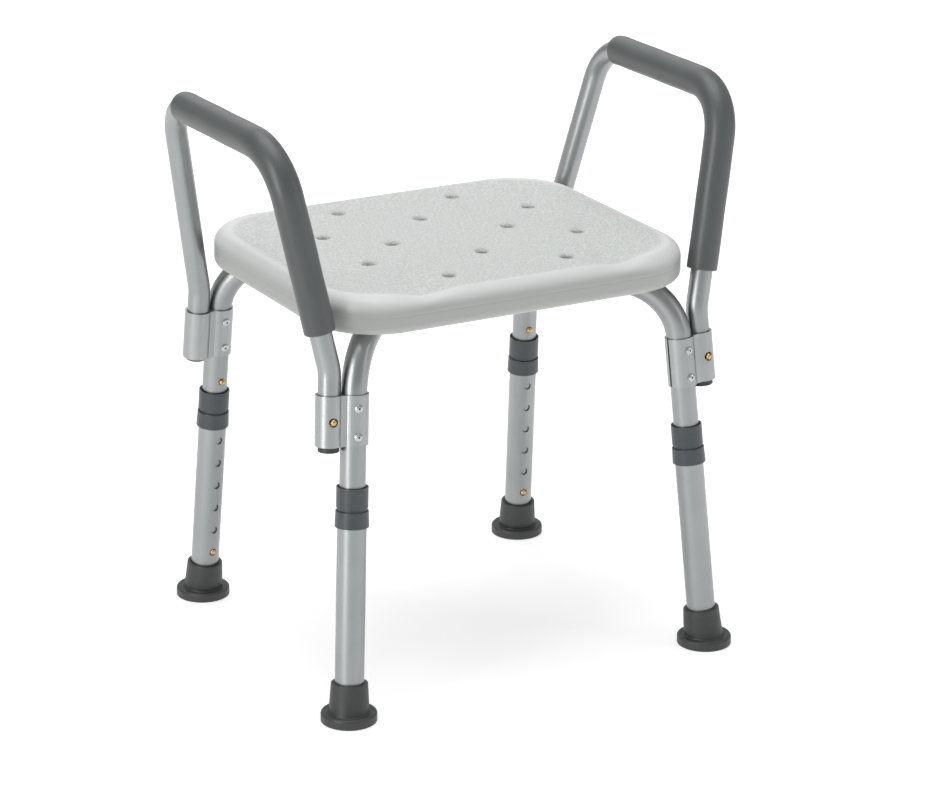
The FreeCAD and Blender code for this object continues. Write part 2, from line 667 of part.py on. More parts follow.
def channel(ends, grow):
    """Room for a frame tube under the seat, open downwards."""
    first, last = ends
    level = dim("run_height")
    points = [first.at(dim("bracket_bottom")), first.at_level(level), last.at_level(level),
              last.at(dim("bracket_bottom"))]
    edges = rounded_path(points, [dim("frame_bend")] * 2)
    radius = dim("frame_radius") + dim("channel_clear") + grow
    solid = sweep(edges, radius)
    dropped = solid.copy()
    dropped.translate(Vector(0, 0, -radius))
    along = (points[2] - points[1]).normalize()
    across = Vector(0, 0, 1).cross(along)
    length = (points[2] - points[1]).Length - 2 * dim("frame_bend")
    lower = points[1] + along * dim("frame_bend") - across * radius - Vector(0, 0, 2 * radius)
    slot = Part.makeBox(length, 2 * radius, 2 * radius)
    slot.Placement = Placement(lower, Rotation(along, across, Vector(0, 0, 1), "ZXY"))
    return solid.multiFuse([dropped, slot])


def crossing_slot(ends, grow):
    """Wider part of a channel, over the flattened middle of a frame tube."""
    along = (ends[1].at_level(dim("run_height")) - ends[0].at_level(dim("run_height"))).normalize()
    across = Vector(0, 0, 1).cross(along)
    half_length = dim("flat_length") + dim("flat_blend") + grow
    half_width = dim("flat_half_width") + grow
    bottom = Vector(0, 0, dim("run_height") - dim("frame_radius"))
    slot = Part.makeBox(2 * half_length, 2 * half_width, 2 * dim("frame_radius") + grow)
    slot.Placement = Placement(bottom - along * half_length - across * half_width,
                               Rotation(along, across, Vector(0, 0, 1), "ZXY"))
    return slot


def seat(pairs):
    """Hollow seat: the slab less its channels, drain holes, screw holes and inner hollow."""
    low, high, wall = dim("seat_bottom"), dim("seat_top"), dim("seat_wall")
    slab = rounded_slab(0.0, low, high, dim("seat_round_bottom"), dim("seat_round_top"))
    hollow = rounded_slab(wall, low + wall, high - wall, dim("seat_round_bottom") - wall,
                          dim("seat_round_top") - wall)
    tools = []
    for ends in pairs:
        tools.append(channel(ends, 0.0))
        hollow = hollow.cut(channel(ends, wall))
        tools.append(crossing_slot(ends, 0.6))
        hollow = hollow.cut(crossing_slot(ends, 0.6 + wall))
    centre = Vector(0, 0, low - 1)
    pocket_top = Vector(0, 0, dim("bolt_top") + 1)
    tools.append(bar(centre, pocket_top, 9.0))
    hollow = hollow.cut(bar(centre, pocket_top + Vector(0, 0, wall), 9.0 + wall))
    for x, y in drain_spots():
        foot_point = Vector(x, y, low - 1)
        tools.append(bar(foot_point, Vector(x, y, high + 1), dim("drain_radius")))
        lead = dim("drain_lead")
        tools.append(Part.makeCone(dim("drain_radius"), dim("drain_radius") + lead, lead,
                                   Vector(x, y, high - lead), Vector(0, 0, 1)))
        hollow = hollow.cut(bar(foot_point, Vector(x, y, high + 1), dim("drain_radius") + lead + 1))
    for ends in pairs:
        for leg in ends:
            spot = screw_spot(leg)
            tools.append(bar(spot, Vector(spot.x, spot.y, dim("screw_tip") + 0.5), dim("screw_radius")))
            hollow = hollow.cut(bar(spot, Vector(spot.x, spot.y, high), dim("boss_radius")))
    for tool in tools:
        slab = slab.cut(tool)
    return node(feature("seat", slab.cut(hollow)), "seat")


def seat_screws(legs):
    """Four pan-head screws that go up through the frame tubes into the seat."""
    solids = []
    under = dim("run_height") - dim("frame_radius")
    for leg in legs:
        spot = screw_spot(leg)
        head_top = Vector(spot.x, spot.y, under - 0.05)
        head = Part.makeCylinder(dim("screw_head_radius"), dim("screw_head_height"), head_top,
                                 Vector(0, 0, -1))
        lower = [e for e in head.Edges if all(v.Point.z < under - 1 for v in e.Vertexes)]
        head = head.makeFillet(1.4, lower)
        solids.append(head.fuse(bar(head_top, Vector(spot.x, spot.y, dim("screw_tip")),
                                    dim("screw_radius"))))
    return node(feature("seat_screws", Part.makeCompound(solids)), "seat_screws")


def centre_bolt():
    """Bolt through both flattened tubes, head underneath."""
    under = "(Dimensions.run_height - Dimensions.frame_radius + 0.1)"
    body = turned("centre_bolt", [
        ("0", under + " - Dimensions.bolt_head_height"),
        ("Dimensions.bolt_head_radius - 1", under + " - Dimensions.bolt_head_height"),
        ("Dimensions.bolt_head_radius", under + " - 1.4"),
        ("Dimensions.bolt_head_radius", under),
        ("Dimensions.bolt_radius", under),
        ("Dimensions.bolt_radius", "Dimensions.bolt_top"),
        ("0", "Dimensions.bolt_top"),
    ])
    return node(body, "centre_bolt")


def centre_nut():
    """Hexagon nut on top of the crossing, in the seat's pocket."""
    prism = primitive("Prism", "centre_nut_prism", Circumradius="Dimensions.nut_flats / 2 / cos(30)",
                      Height="Dimensions.nut_height")
    prism.Polygon = 6
    bore = primitive("Cylinder", "centre_nut_bore", Radius="Dimensions.bolt_radius + 0.02",
                     Height="Dimensions.nut_height")
    level = Vector(0, 0, dim("run_height") + dim("frame_radius") - 0.1)
    return node(cut("centre_nut", prism, bore), "centre_nut", Placement(level, Rotation()))


# Arms: a bent tube from the front socket to the back one, with a foam grip and end plugs.

def arm_points(front, back):
    """Corner points of an arm tube's middle line, back socket first."""
    out = dim("socket_distance")
    x = front.side * dim("arm_top_x")
    return [
        back.at(dim("arm_end_back"), out),
        back.at(dim("arm_kink"), out),
        Vector(x, dim("arm_top_y_back"), dim("arm_top_z_back")),
        Vector(x, -dim("arm_top_y_front"), dim("arm_top_z_front")),
        front.at(dim("arm_kink"), out),
        front.at(dim("arm_end_front"), out),
    ]


def arm_edges(front, back):
    """Middle line of an arm tube, with its kinks and corner bends."""
    kink = dim("arm_kink_bend")
    radii = [kink, dim("arm_bend_back"), dim("arm_bend_front"), kink]
    return rounded_path(arm_points(front, back), radii)


def arm_tube(side, front, back):
    """Arm tube, drilled for its two snap buttons."""
    edges = arm_edges(front, back)
    tube = sweep(edges, dim("arm_radius")).cut(sweep(edges, dim("arm_radius") - dim("arm_wall")))
    for leg in (front, back):
        start = leg.at(button_height(), dim("socket_distance"))
        facing = leg.square * leg.forward * -leg.end
        tube = tube.cut(bar(start, start + facing * 20, dim("tube_hole")))
    return node(feature(side + "_arm_tube", tube), side + "_arm_tube")


def button_height():
    """Height of an arm button up the leg, half way up the bracket."""
    return dim("bracket_bottom") + dim("bracket_height") / 2


def grip(side, front, back):
    """Foam sleeve from inside the back bend, over the top and down the front upright."""
    edges = arm_edges(front, back)
    arc = edges[3]
    share = (arc.valueAt(arc.FirstParameter).y - dim("grip_back_y"))
    share /= arc.valueAt(arc.FirstParameter).y - arc.valueAt(arc.LastParameter).y
    cuts = [arc.FirstParameter + (arc.LastParameter - arc.FirstParameter) * t
            for t in (share, (1 + share) / 2, 1)]
    start_arc = Part.Arc(*[arc.valueAt(t) for t in cuts]).toShape()
    upright = edges[6]
    top = upright.valueAt(upright.FirstParameter)
    bottom = upright.valueAt(upright.LastParameter)
    end = top + (bottom - top) * ((top.z - dim("grip_front_end")) / (top.z - bottom.z))
    path = [start_arc, edges[4], edges[5], Part.LineSegment(top, end).toShape()]
    foam = sweep(path, dim("grip_radius")).cut(sweep(path, dim("arm_radius") + 0.03))
    return node(feature(side + "_arm_grip", foam), side + "_arm_grip")


def end_plugs(side, front, back):
    """Plastic plugs in both lower ends of an arm tube."""
    solids = []
    for leg, end in ((front, dim("arm_end_front")), (back, dim("arm_end_back"))):
        edge = leg.at(end, dim("socket_distance"))
        bottom = leg.at(end - dim("plug_cap"), dim("socket_distance"))
        cap = bar(bottom, edge, dim("plug_radius"))
        low = [e for e in cap.Edges if len(e.Vertexes) == 1
               and (e.Vertexes[0].Point - bottom).dot(leg.up) < 0.1]
        cap = cap.makeFillet(1.2, low)
        stem = bar(edge, leg.at(end + dim("plug_stem"), dim("socket_distance")),
                   dim("arm_radius") - dim("arm_wall") - 0.02)
        solids.append(cap.fuse(stem))
    return node(feature(side + "_arm_plugs", Part.makeCompound(solids)), side + "_arm_plugs")


LEGS = {(side, end): Leg(side, end) for side in (-1, 1) for end in (-1, 1)}
PAIRS = [(LEGS[-1, 1], LEGS[1, -1]), (LEGS[-1, -1], LEGS[1, 1])]

for leg in LEGS.values():
    leg_tube(leg)
    lower_collar(leg)
    upper_collar(leg)
    foot(leg)
    foot_washer(leg)
    bracket(leg)
    rivets(leg)
    inward = leg.forward * leg.end
    for which, at in (("lower", "hole_low"), ("upper", "upper_button_at")):
        snap_button(f"{leg.name}_{which}_button", "Dimensions.leg_button_base",
                    "Dimensions.leg_button_tip", leg.radial(dim(at), inward))
    strips = [folded_spring(dim("leg_button_base") - 0.05, dim("leg_spring_wall"),
                            leg.radial(dim(at), inward))
              for at in ("hole_low", "upper_button_at")]
    node(feature(leg.name + "_leg_springs", Part.makeCompound(strips)), leg.name + "_leg_springs")
    snap_button(leg.name + "_arm_button", "Dimensions.arm_button_base", "Dimensions.arm_button_tip",
                leg.radial(button_height(), leg.forward * -leg.end, dim("socket_distance")))

for side_name, side in (("left", -1), ("right", 1)):
    front, back = LEGS[side, -1], LEGS[side, 1]
    arm_tube(side_name, front, back)
    grip(side_name, front, back)
    end_plugs(side_name, front, back)
    strips = [folded_spring(dim("arm_button_base") - 0.05, dim("arm_spring_wall"),
                            leg.radial(button_height(), leg.forward * -leg.end, dim("socket_distance")))
              for leg in (front, back)]
    node(feature(side_name + "_arm_springs", Part.makeCompound(strips)), side_name + "_arm_springs")

lap = dim("frame_radius") / 2
frame_tube("left_back_frame_tube", PAIRS[0], -lap)
frame_tube("left_front_frame_tube", PAIRS[1], lap)
seat(PAIRS)
seat_screws(LEGS.values())
centre_bolt()
centre_nut()
doc.recompute()

for item in doc.Objects:
    if "Invalid" in item.State or "Error" in item.State:
        raise RuntimeError(f"{item.Label} failed: {item.State}")
os.makedirs("parts", exist_ok=True)
for item in NODES:
    shape = item.Shape
    if shape.isNull() or not shape.isValid() or not shape.Solids:
        raise RuntimeError(f"{item.Label} has no sound shape")
    shape.exportStep(f"parts/{item.Label}.step")
print(len(NODES), "nodes written")
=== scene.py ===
"""Looks of a shower stool with adjustable legs, a moulded seat and two padded arm loops.

Metres, +Z up, +X to the right of somebody who faces the front edge, +Y to the back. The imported
solids carry every tube, bracket, button and fastener; the seat, the foam grips and the rubber
feet are surfaces worked out here, because moulding, foam and rubber have no straight edges.
"""

import logging
import math
from dataclasses import dataclass, field
from enum import Enum

import bmesh
import bpy
import numpy as np
from mathutils import Matrix, Vector

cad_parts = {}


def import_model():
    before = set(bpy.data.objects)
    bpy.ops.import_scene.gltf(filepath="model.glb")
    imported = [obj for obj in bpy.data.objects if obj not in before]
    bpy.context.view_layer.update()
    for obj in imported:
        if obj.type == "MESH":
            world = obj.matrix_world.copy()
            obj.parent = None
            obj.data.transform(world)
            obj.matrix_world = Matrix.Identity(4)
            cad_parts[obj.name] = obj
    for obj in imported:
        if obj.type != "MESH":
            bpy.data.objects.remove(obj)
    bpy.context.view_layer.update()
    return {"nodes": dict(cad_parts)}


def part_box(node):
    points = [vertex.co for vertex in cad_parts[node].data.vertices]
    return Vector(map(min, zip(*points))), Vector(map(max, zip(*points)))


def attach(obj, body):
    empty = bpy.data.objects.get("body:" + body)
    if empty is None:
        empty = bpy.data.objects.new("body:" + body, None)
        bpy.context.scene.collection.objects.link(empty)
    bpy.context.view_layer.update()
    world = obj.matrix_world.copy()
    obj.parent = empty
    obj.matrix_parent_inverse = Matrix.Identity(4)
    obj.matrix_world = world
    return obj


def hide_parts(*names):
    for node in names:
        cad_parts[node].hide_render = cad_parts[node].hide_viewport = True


LOG = logging.getLogger("shower_stool")
MM = 0.001
UP = np.array([0.0, 0.0, 1.0])
FIXED_BODY = "stool"


class Side(Enum):
    """Left or right half of the stool, as the sign of X."""

    LEFT = -1
    RIGHT = 1


class End(Enum):
    """Front or back half of the stool, as the sign of Y."""

    FRONT = -1
    BACK = 1


# ---------------------------------------------------------------- shared helpers


def linear(code: str) -> tuple[float, float, float, float]:
    """Turn an sRGB hex colour into linear light.

    Args:
        code: Colour as six hex digits after a hash.

    Returns:
        Red, green, blue and an alpha of 1.
    """
    parts = [int(code[i:i + 2], 16) / 255 for i in (1, 3, 5)]
    red, green, blue = [p / 12.92 if p <= 0.04045 else ((p + 0.055) / 1.055) ** 2.4 for p in parts]
    return red, green, blue, 1.0


def per_metre(size_mm: float) -> float:
    """Texture scale whose pattern repeats about once in a size given in millimetres."""
    return 1000.0 / size_mm


def add_node(tree: bpy.types.NodeTree, kind: str, values: dict | None = None, **settings) -> bpy.types.Node:
    """Add one node with its settings, constants and links.

    Args:
        tree: Node tree to add to.
        kind: Blender's name of the node type.
        values: Input name or number to a constant, or to the output socket that feeds it.
        **settings: Properties of the node itself.

    Returns:
        The new node.
    """
    node = tree.nodes.new(kind)
    for name, value in settings.items():
        setattr(node, name, value)
    for key, value in (values or {}).items():
        if isinstance(value, bpy.types.NodeSocket):
            tree.links.new(value, node.inputs[key])
        else:
            node.inputs[key].default_value = value
    return node


def start_material(name: str) -> tuple[bpy.types.Material, bpy.types.NodeTree, bpy.types.NodeSocket]:
    """Start a material that reads Object coordinates.

    Args:
        name: Name of the material.

    Returns:
        The material, its node tree and the socket of its Object coordinates.
    """
    made = bpy.data.materials.new(name)
    made.use_nodes = True
    return made, made.node_tree, add_node(made.node_tree, "ShaderNodeTexCoord").outputs["Object"]


def finish_shader(tree: bpy.types.NodeTree, links: dict, constants: dict) -> None:
    """Link and set the inputs of a tree's own shader.

    Args:
        tree: Node tree of a material.
        links: Input name to the socket that feeds it.
        constants: Input name to its value.
    """
    shader = tree.nodes["Principled BSDF"]
    for name, socket in links.items():
        tree.links.new(socket, shader.inputs[name])
    for name, value in constants.items():
        shader.inputs[name].default_value = value


def smooth(value: np.ndarray, low: float, high: float) -> np.ndarray:
    """Ease from 0 at low to 1 at high, with level ends: 3 t squared less 2 t cubed."""
    t = np.clip((value - low) / (high - low), 0.0, 1.0)
    return t * t * (3.0 - 2.0 * t)


def unit(vector: np.ndarray) -> np.ndarray:
    """The same direction with length 1, along the last axis."""
    return vector / np.linalg.norm(vector, axis=-1, keepdims=True)


def grid_object(name: str, points: np.ndarray, closed_rows: bool = False,
                ends: tuple[np.ndarray, np.ndarray] | None = None) -> bpy.types.Object:
    """Skin a grid of points whose columns always wrap round.

    Args:
        name: Name of the object.
        points: Array of rows by columns by 3.
        closed_rows: Whether the last row joins the first, as on a hollow sleeve.
        ends: Points that close the first and the last row, where the rows don't wrap.

    Returns:
        A smooth-shaded object at the origin, linked to the scene.
    """
    rows, columns, _ = points.shape
    row = np.arange(rows if closed_rows else rows - 1)[:, None]
    column = np.arange(columns)[None, :]
    above, beside = (row + 1) % rows, (column + 1) % columns
    quads = np.stack([row * columns + column, row * columns + beside,
                      above * columns + beside, above * columns + column], axis=-1).reshape(-1, 4)
    vertices = points.reshape(-1, 3)
    faces = quads.tolist()
    if ends is not None:
        first, last = rows * columns, rows * columns + 1
        vertices = np.vstack([vertices, ends[0], ends[1]])
        ring, after = np.arange(columns), (np.arange(columns) + 1) % columns
        start = np.stack([np.full(columns, first), after, ring], axis=-1)
        finish = np.stack([np.full(columns, last), ring + (rows - 1) * columns,
                           after + (rows - 1) * columns], axis=-1)
        faces += start.tolist() + finish.tolist()
    mesh = bpy.data.meshes.new(name)
    mesh.from_pydata(vertices.tolist(), [], faces)
    mesh.polygons.foreach_set("use_smooth", [True] * len(mesh.polygons))
    mesh.update()
    item = bpy.data.objects.new(name, mesh)
    bpy.context.scene.collection.objects.link(item)
    return item


def rounded_route(corners: np.ndarray, radii: list[float], step: float) -> np.ndarray:
    """Middle line of a bent tube: straight runs joined by arcs that are tangent to both.

    At each corner the arc starts radius times tan(half the turn) before it, and its points are
    centre + radius (cos a u + sin a v), with u and v square to each other in the bend's plane.

    Args:
        corners: Corner points with both ends, count by 3.
        radii: One bend radius for each inner corner.
        step: Spacing of the points, in metres.

    Returns:
        Points along the route, about a step apart.
    """
    runs, start = [], corners[0]
    for before, corner, after, radius in zip(corners, corners[1:], corners[2:], radii):
        arrive, leave = unit(corner - before), unit(after - corner)
        turn = math.acos(float(np.clip(arrive @ leave, -1.0, 1.0)))
        reach = radius * math.tan(turn / 2)
        first = corner - arrive * reach
        outward = -unit(leave - arrive * float(arrive @ leave))
        centre = first - outward * radius
        count = max(2, int(np.linalg.norm(first - start) / step))
        runs.append(start + (first - start) * np.linspace(0, 1, count, endpoint=False)[:, None])
        angle = np.linspace(0, turn, max(8, int(radius * turn / step)), endpoint=False)[:, None]
        runs.append(centre + radius * (np.cos(angle) * outward + np.sin(angle) * arrive))
        start = corner + leave * reach
    count = max(2, int(np.linalg.norm(corners[-1] - start) / step))
    runs.append(start + (corners[-1] - start) * np.linspace(0, 1, count)[:, None])
    return np.vstack(runs)


def rings_along(route: np.ndarray, radius: np.ndarray, columns: int, side: np.ndarray) -> np.ndarray:
    """Rings square to a route: point + radius (cos a across + sin a above).

    Args:
        route: Points of the middle line, count by 3.
        radius: One radius per point, or per point and column.
        columns: Points round each ring.
        side: Direction that is never along the route; each ring's across is square to it.

    Returns:
        Array of points by columns by 3.
    """
    tangent = unit(np.gradient(route, axis=0))
    above = unit(np.cross(tangent, side))
    across = unit(np.cross(above, tangent))
    angle = np.linspace(0, 2 * np.pi, columns, endpoint=False)
    spokes = (np.cos(angle)[None, :, None] * across[:, None, :]
              + np.sin(angle)[None, :, None] * above[:, None, :])
    reach = radius[:, None, None] if radius.ndim == 1 else radius[:, :, None]
    return route[:, None, :] + reach * spokes


def outward(item: bpy.types.Object) -> None:
    """Turn every face of a closed mesh to look outwards, judged by the sign of its volume."""
    shell = bmesh.new()
    shell.from_mesh(item.data)
    if shell.calc_volume(signed=True) < 0:
        bmesh.ops.reverse_faces(shell, faces=shell.faces)
    shell.to_mesh(item.data)
    shell.free()


# ---------------------------------------------------------------- finishes


@dataclass(frozen=True)
class AnodisedTube:
    """Drawn aluminium tube, etched and clear anodised.

    The etch scatters light, so highlights are broad and soft, and the drawing dies leave faint
    lines along the tube. Real lines are under 0.1 mm; these are 0.7 mm, so that they show.
    """

    name: str
    colour: str = "#9FA2A2"
    worn: str = "#949797"
    roughness: float = 0.35
    line_mm: float = 0.7
    cloud_mm: float = 45.0

    def material(self) -> bpy.types.Material:
        """Build the material.

        Returns:
            A metal with faint lines up the tube and a cloudy change of roughness.
        """
        made, tree, place = start_material(self.name)
        stretched = add_node(tree, "ShaderNodeMapping", {"Vector": place, "Scale": (1.0, 1.0, 0.02)})
        lines = add_node(tree, "ShaderNodeTexNoise", {
            "Vector": stretched.outputs["Vector"], "Scale": per_metre(self.line_mm), "Detail": 2.0})
        cloud = add_node(tree, "ShaderNodeTexNoise", {
            "Vector": place, "Scale": per_metre(self.cloud_mm), "Detail": 3.0})
        tint = add_node(tree, "ShaderNodeMix", {
            "Factor": cloud.outputs["Fac"], "A": linear(self.colour), "B": linear(self.worn)},
            data_type="RGBA")
        rough = add_node(tree, "ShaderNodeMapRange", {
            "Value": cloud.outputs["Fac"], "From Min": 0.3, "From Max": 0.7,
            "To Min": self.roughness - 0.03, "To Max": self.roughness + 0.05})
        bump = add_node(tree, "ShaderNodeBump", {
            "Height": lines.outputs["Fac"], "Strength": 0.05, "Distance": 0.05 * MM})
        finish_shader(tree, {"Base Color": tint.outputs["Result"], "Roughness": rough.outputs["Result"],
                             "Normal": bump.outputs["Normal"]}, {"Metallic": 1.0})
        return made


@dataclass(frozen=True)
class PlainMetal:
    """Small pressed or turned metal part: brass, zinc-plated or spring steel.

    Handling leaves a fine mottle, so the highlight breaks up a little.
    """

    name: str
    colour: str
    deep: str
    roughness: float
    mottle_mm: float = 2.5

    def material(self) -> bpy.types.Material:
        """Build the material.

        Returns:
            A metal whose colour and roughness vary together.
        """
        made, tree, place = start_material(self.name)
        mottle = add_node(tree, "ShaderNodeTexNoise", {
            "Vector": place, "Scale": per_metre(self.mottle_mm), "Detail": 4.0})
        tint = add_node(tree, "ShaderNodeMix", {
            "Factor": mottle.outputs["Fac"], "A": linear(self.colour), "B": linear(self.deep)},
            data_type="RGBA")
        rough = add_node(tree, "ShaderNodeMapRange", {
            "Value": mottle.outputs["Fac"], "To Min": self.roughness * 0.8, "To Max": self.roughness * 1.3})
        finish_shader(tree, {"Base Color": tint.outputs["Result"], "Roughness": rough.outputs["Result"]},
                      {"Metallic": 1.0})
        return made


@dataclass(frozen=True)
class Moulded:
    """Rubber, foam or plastic with a spark-eroded or foamed skin.

    Dark polymers keep a weak, wide sheen; the grain of the mould breaks it up. Grain is drawn
    at the size given, which is as fine as it can be and still show.
    """

    name: str
    colour: str
    deep: str
    roughness: float
    grain_mm: float
    grain_depth_mm: float
    cloud_mm: float = 18.0

    def material(self) -> bpy.types.Material:
        """Build the material.

        Returns:
            A matt polymer with grain and slow changes of tone.
        """
        made, tree, place = start_material(self.name)
        grain = add_node(tree, "ShaderNodeTexNoise", {
            "Vector": place, "Scale": per_metre(self.grain_mm), "Detail": 3.0, "Roughness": 0.6})
        cloud = add_node(tree, "ShaderNodeTexNoise", {
            "Vector": place, "Scale": per_metre(self.cloud_mm), "Detail": 2.0})
        blend = add_node(tree, "ShaderNodeMath", {0: grain.outputs["Fac"], 1: cloud.outputs["Fac"]},
                         operation="MULTIPLY")
        spread = add_node(tree, "ShaderNodeMapRange", {
            "Value": blend.outputs["Value"], "From Min": 0.12, "From Max": 0.4})
        tint = add_node(tree, "ShaderNodeMix", {
            "Factor": spread.outputs["Result"], "A": linear(self.deep), "B": linear(self.colour)},
            data_type="RGBA")
        rough = add_node(tree, "ShaderNodeMapRange", {
            "Value": cloud.outputs["Fac"],
            "To Min": self.roughness - 0.06, "To Max": self.roughness + 0.06})
        bump = add_node(tree, "ShaderNodeBump", {
            "Height": grain.outputs["Fac"], "Strength": 0.5, "Distance": self.grain_depth_mm * MM})
        finish_shader(tree, {"Base Color": tint.outputs["Result"], "Roughness": rough.outputs["Result"],
                             "Normal": bump.outputs["Normal"]}, {})
        return made


@dataclass(frozen=True)
class BlowMouldedPolyethylene:
    """Pale high-density polyethylene, blown into a textured mould.

    The skin is waxy with a soft gloss. The top has a leathery pebble up to a smooth band inside
    the rim; the sides and the underside are smooth with a faint wave from cooling. The sides and
    the underside are painted darker than the top, as painted shade.
    """

    name: str
    half_x: float
    half_y: float
    colour: str = "#DEE1DF"
    # Colour painted into the low pits of the pebble: painted shade.
    pit_shade: str = "#C3C8C5"
    # side: darker colour painted on the sides and the underside, as painted shade
    side: str = "#B5B7B4"
    roughness: float = 0.42
    pebble_mm: float = 2.3
    pebble_depth_mm: float = 0.6
    # Share of that colour painted into the pits, as painted shade.
    pit_shade_share: float = 0.8
    wave_mm: float = 60.0
    smooth_band_mm: float = 15.0

    def pebbled_area(self, tree: bpy.types.NodeTree, place: bpy.types.NodeSocket) -> bpy.types.NodeSocket:
        """Mask of the pebbled part of the top.

        It is 1 where |x / a| to the 5th plus |y / b| to the 5th is under 1 and the face looks
        up, with a and b the seat's half sizes less the smooth band.

        Args:
            tree: Node tree of the material.
            place: Object coordinates.

        Returns:
            Socket that gives the mask.
        """
        axes = add_node(tree, "ShaderNodeSeparateXYZ", {"Vector": place})
        powers = []
        for axis, half in (("X", self.half_x), ("Y", self.half_y)):
            share = add_node(tree, "ShaderNodeMath", {
                0: axes.outputs[axis], 1: 1.0 / (half - self.smooth_band_mm * MM)}, operation="MULTIPLY")
            size = add_node(tree, "ShaderNodeMath", {0: share.outputs[0]}, operation="ABSOLUTE")
            powers.append(add_node(tree, "ShaderNodeMath", {0: size.outputs[0], 1: 5.0}, operation="POWER"))
        total = add_node(tree, "ShaderNodeMath", {0: powers[0].outputs[0], 1: powers[1].outputs[0]},
                         operation="ADD")
        inside = add_node(tree, "ShaderNodeMapRange", {
            "Value": total.outputs[0], "From Min": 0.93, "From Max": 1.12, "To Min": 1.0, "To Max": 0.0},
            interpolation_type="SMOOTHSTEP")
        height = add_node(tree, "ShaderNodeMapRange", {
            "Value": axes.outputs["Z"], "From Min": 0.4035, "From Max": 0.4065})
        both = add_node(tree, "ShaderNodeMath", {0: inside.outputs["Result"], 1: height.outputs["Result"]},
                        operation="MULTIPLY")
        return both.outputs[0]

    def material(self) -> bpy.types.Material:
        """Build the material.

        Returns:
            A waxy plastic, pebbled on top, with painted shade in the pebble's pits.
        """
        made, tree, place = start_material(self.name)
        mask = self.pebbled_area(tree, place)
        pebble = add_node(tree, "ShaderNodeTexNoise", {
            "Vector": place, "Scale": per_metre(self.pebble_mm), "Detail": 3.0, "Roughness": 0.55,
            "Distortion": 0.4})
        crisp = add_node(tree, "ShaderNodeMapRange", {
            "Value": pebble.outputs["Fac"], "From Min": 0.38, "From Max": 0.62},
            interpolation_type="SMOOTHSTEP")
        cooling = add_node(tree, "ShaderNodeTexNoise", {
            "Vector": place, "Scale": per_metre(self.wave_mm), "Detail": 1.0})
        # Painted shade: the pebble's low pits, where the bump is lowest, take the darker pit colour.
        shade = add_node(tree, "ShaderNodeMapRange", {
            "Value": crisp.outputs["Result"], "To Min": 1.0, "To Max": 0.0})
        masked = add_node(tree, "ShaderNodeMath", {0: shade.outputs["Result"], 1: mask},
                          operation="MULTIPLY")
        amount = add_node(tree, "ShaderNodeMath", {0: masked.outputs[0], 1: self.pit_shade_share},
                          operation="MULTIPLY")
        pit_shaded_colour = add_node(tree, "ShaderNodeMix", {
            "Factor": amount.outputs[0], "A": linear(self.colour), "B": linear(self.pit_shade)},
            data_type="RGBA")
        # Below the top rounding the colour fades to the side colour: painted shade on the sides and
        # underside.
        axes = add_node(tree, "ShaderNodeSeparateXYZ", {"Vector": place})
        rise = add_node(tree, "ShaderNodeMapRange", {
            "Value": axes.outputs["Z"], "From Min": 0.3990, "From Max": 0.4095},
            interpolation_type="SMOOTHSTEP")
        tint = add_node(tree, "ShaderNodeMix", {
            "Factor": rise.outputs["Result"], "A": linear(self.side), "B": pit_shaded_colour.outputs["Result"]},
            data_type="RGBA")
        rough = add_node(tree, "ShaderNodeMapRange", {
            "Value": mask, "To Min": self.roughness, "To Max": self.roughness + 0.14})
        grain = add_node(tree, "ShaderNodeMath", {0: crisp.outputs["Result"], 1: mask},
                         operation="MULTIPLY")
        wave = add_node(tree, "ShaderNodeBump", {
            "Height": cooling.outputs["Fac"], "Strength": 0.25, "Distance": 0.6 * MM})
        bump = add_node(tree, "ShaderNodeBump", {
            "Height": grain.outputs[0], "Strength": 0.7, "Distance": self.pebble_depth_mm * MM,
            "Normal": wave.outputs["Normal"]})
        finish_shader(tree, {"Base Color": tint.outputs["Result"], "Roughness": rough.outputs["Result"],
                             "Normal": bump.outputs["Normal"]},
                      {"Subsurface Weight": 0.12, "Subsurface Radius": (1.0, 1.0, 0.95),
                       "Subsurface Scale": 2.5 * MM})
        return made


# ---------------------------------------------------------------- the stool's own shapes


@dataclass
class LegLine:
    """Axis of one leg, and where its arm socket stands."""

    side: Side
    end: End
    foot_x_front: float = 0.204
    foot_x_back: float = 0.190
    foot_y: float = 0.179
    splay_front: float = math.radians(3.8)
    splay_back: float = math.radians(1.6)
    lean_y: float = math.tan(math.radians(5.25))
    socket_reach: float = 0.025
    bracket_turn: float = math.radians(7.0)

    @property
    def name(self) -> str:
        """Start of the names of the leg's nodes."""
        return f"{self.side.name.lower()}_{self.end.name.lower()}"

    @property
    def base(self) -> np.ndarray:
        """Point where the axis meets the floor."""
        foot_x = self.foot_x_front if self.end is End.FRONT else self.foot_x_back
        return np.array([self.side.value * foot_x, self.end.value * self.foot_y, 0.0])

    @property
    def up(self) -> np.ndarray:
        """Unit direction of the axis, from the floor up."""
        lean_x = math.tan(self.splay_front if self.end is End.FRONT else self.splay_back)
        return unit(np.array([-self.side.value * lean_x, -self.end.value * self.lean_y, 1.0]))

    @property
    def out(self) -> np.ndarray:
        """Unit direction from the leg to its arm socket, square to the axis."""
        flat = np.array([self.side.value * math.cos(self.bracket_turn),
                         -self.end.value * math.sin(self.bracket_turn), 0.0])
        return unit(flat - self.up * float(flat @ self.up))

    def at(self, height: float, out: float = 0.0) -> np.ndarray:
        """Point a distance up the axis and out to the socket."""
        return self.base + self.up * height + self.out * out


